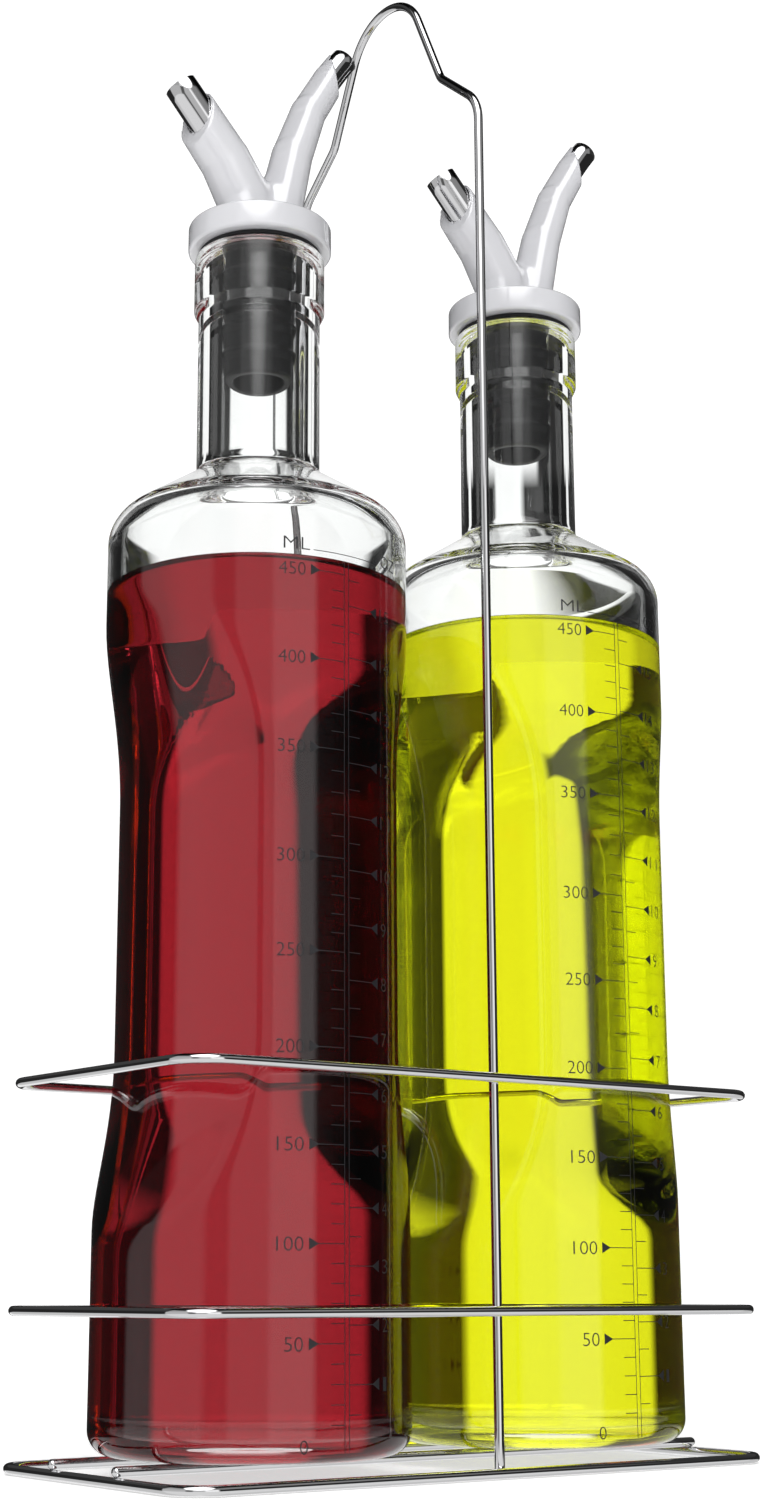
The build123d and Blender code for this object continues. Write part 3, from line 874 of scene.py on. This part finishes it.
def greys(stops, value):
    """A colour ramp of greys through (position, brightness) stops."""
    ramp = nt.nodes.new("ShaderNodeValToRGB")
    elements = ramp.color_ramp.elements
    while len(elements) > 1:
        elements.remove(elements[-1])
    (elements[0].position, first), *others = stops
    elements[0].color = (first, first, first, 1.0)
    for position, bright in others:
        elements.new(position).color = (bright, bright, bright, 1.0)
    nt.links.new(value, ramp.inputs["Fac"])
    return ramp.outputs["Color"]


def by_angle(stops, angle):
    """The brightness from (angle, brightness) stops; angles of -180 to 180 fill the ramp."""
    return greys([(0.5 + a / 360, bright) for a, bright in stops], angle)


def mixed(factor, a, b):
    """One grey turning into another."""
    blend = nt.nodes.new("ShaderNodeMix")
    for socket, value in zip(("Factor", "A", "B"), (factor, a, b)):
        nt.links.new(value, blend.inputs[socket])
    return blend.outputs["Result"]


def step_up(value, low, high):
    """0 below one value and 1 above another."""
    span = nt.nodes.new("ShaderNodeMapRange")
    span.inputs["From Min"].default_value = low
    span.inputs["From Max"].default_value = high
    nt.links.new(value, span.inputs["Value"])
    return span.outputs["Result"]


# Where a ray meets the studio: how far round it, from 0 to 1, and its height above level in degrees
turned_by = calculate("ARCTAN2", along(RIGHT), along(AHEAD))
turned_by = calculate("MULTIPLY_ADD", turned_by, 1 / (2 * math.pi), 0.5)
height = calculate("MULTIPLY", calculate("ARCSINE", along(UP)), 180 / math.pi)
is_mirror = calculate("LESS_THAN", crossed, MIRROR_MOST)
is_clear = calculate("MULTIPLY", calculate("GREATER_THAN", crossed, MIRROR_MOST),
                     calculate("LESS_THAN", crossed, CLEAR_MOST))


def band(around, clear, mirror=None):
    """One band of the studio, in the version that suits the light."""
    seen = mixed(is_clear, by_angle(around, turned_by), by_angle(clear, turned_by))
    return seen if mirror is None else mixed(is_mirror, seen, by_angle(mirror, turned_by))


def studio_walls():
    """The three bands, one above the other."""
    below = band(BELOW_AROUND, CLEAR_BELOW)
    level = band(LEVEL_AROUND, CLEAR_LEVEL, MIRROR_LEVEL)
    above = band(ABOVE_AROUND, CLEAR_ABOVE, MIRROR_ABOVE)
    upper = mixed(step_up(height, *ABOVE_FROM), level, above)
    return mixed(step_up(height, *BELOW_FROM), below, upper)


def studio_window():
    """The window: bright between its edges and black elsewhere."""
    left, right, low, high = WINDOW
    across = by_angle(
        [(-180, 0.0), (left, 0.0), (left + WINDOW_SOFT, 1.0), (right - WINDOW_SOFT, 1.0), (right, 0.0),
         (180, 0.0)], turned_by)
    over_sill, under_head = calculate("GREATER_THAN", height, low), calculate("LESS_THAN", height, high)
    window = calculate("MULTIPLY", calculate("MULTIPLY", over_sill, under_head), across)
    window = calculate("MULTIPLY", window, calculate("GREATER_THAN", crossed, CLEAR_MOST))
    return calculate("MULTIPLY", window, WINDOW_LIGHT)


def under_roof(walls):
    """The walls, darkened by the roof above them."""
    ramp_height = calculate("MULTIPLY_ADD", height, 1 / 360, 0.5)
    roof = by_angle([(-180, 1.0), (ROOF_FROM, 1.0), (ROOF_FULL, ROOF), (180, ROOF)], ramp_height)
    return calculate("MULTIPLY", walls, roof)


def key_light():
    """A round soft light above and behind the camera."""
    inner, outer = (math.cos(math.radians(KEY_SPREAD + a)) for a in (-KEY_SOFT, KEY_SOFT))
    toward_key = along(UP * math.sin(KEY_TILT) - AHEAD * math.cos(KEY_TILT))
    disc = greys([(0.0, 0.0), (outer, 0.0), (inner, 1.0), (1.0, 1.0)], toward_key)
    return calculate("MULTIPLY", disc, KEY)


walls = calculate("MAXIMUM", studio_walls(), studio_window())
lit = calculate("MAXIMUM", under_roof(walls), key_light())
white_to_camera = calculate("MAXIMUM", lit, light_path.outputs["Is Camera Ray"])
nt.links.new(white_to_camera, nt.nodes["Background"].inputs["Color"])
nt.nodes["Background"].inputs["Strength"].default_value = LIGHT

scene = bpy.context.scene
scene.view_settings.view_transform = "Standard"
scene.cycles.max_bounces = 40
scene.cycles.caustics_reflective = False
scene.cycles.glossy_bounces = 32
scene.cycles.transmission_bounces = 40


# ---------------------------------------------------------------- camera

# The photographer's place and lens, found by matching the rack's rings and the bottles' outlines:
# where the lens stands, its length for a film of 36 mm, and its shift in parts of the frame's height
EYE = (-298.07, -390.818, 35.706)
FILM, LENS = 36.0, 54.650352
SHIFT_X, SHIFT_Y = 0.0299607, -0.0038607

lens = bpy.data.cameras.new("camera")
lens.sensor_width = FILM
lens.lens = LENS
lens.shift_x = SHIFT_X
lens.shift_y = SHIFT_Y
lens.clip_start = 0.01
camera = bpy.data.objects.new("camera", lens)
scene.collection.objects.link(camera)
looks_along = Vector(AHEAD * math.cos(PITCH) + UP * math.sin(PITCH))
looks_right = Vector(RIGHT)
looks_up = looks_right.cross(looks_along)
turned = Matrix((looks_right, looks_up, -looks_along)).transposed().to_4x4()
camera.matrix_world = Matrix.Translation(Vector(EYE) * MM) @ turned
scene.camera = camera
